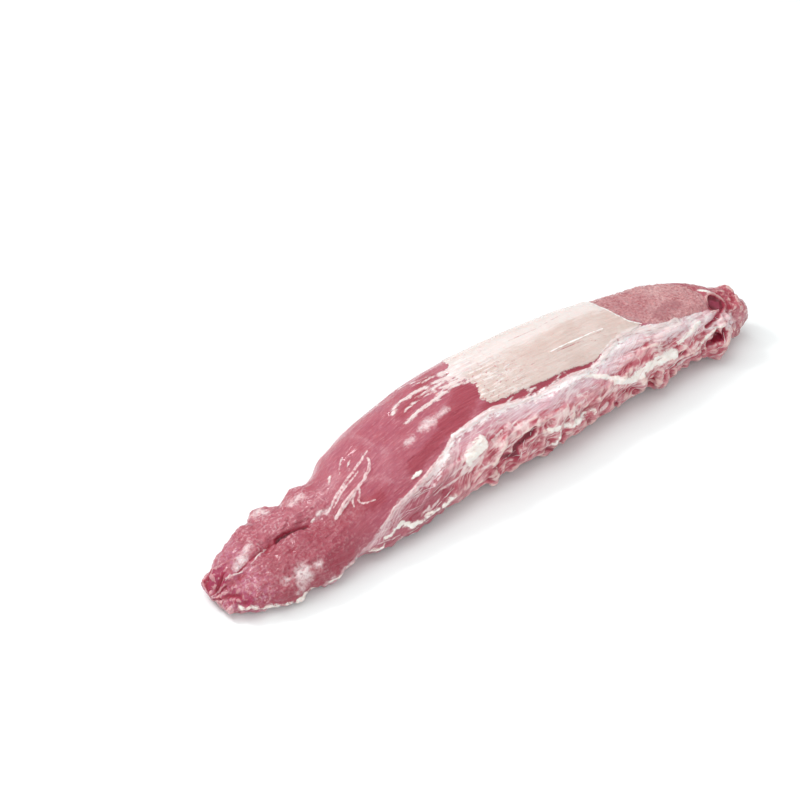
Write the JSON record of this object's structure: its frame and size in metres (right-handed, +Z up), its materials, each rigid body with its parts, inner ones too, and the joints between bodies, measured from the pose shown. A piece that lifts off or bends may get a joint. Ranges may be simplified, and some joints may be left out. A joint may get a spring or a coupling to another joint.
{
  "type": "raw pork tenderloin",
  "caption": "Whole raw pork tenderloin: long tapering muscle with a cleft tail, a stringy fatty side chain, a silverskin patch and a flat cut head with ragged lobes.",
  "frame": {"origin": "middle of the length and width, on the surface it rests on", "axes": "+X along the muscle from the tail to the head, +Y to the back, -Y to the side chain, +Z up"},
  "size_m": [0.3506, 0.0822, 0.0432],
  "materials": {
    "raw_pork": "moist, semi-gloss"
  },
  "bodies": {
    "root": {"tenderloin": "raw_pork"}
  },
  "joints": []
}
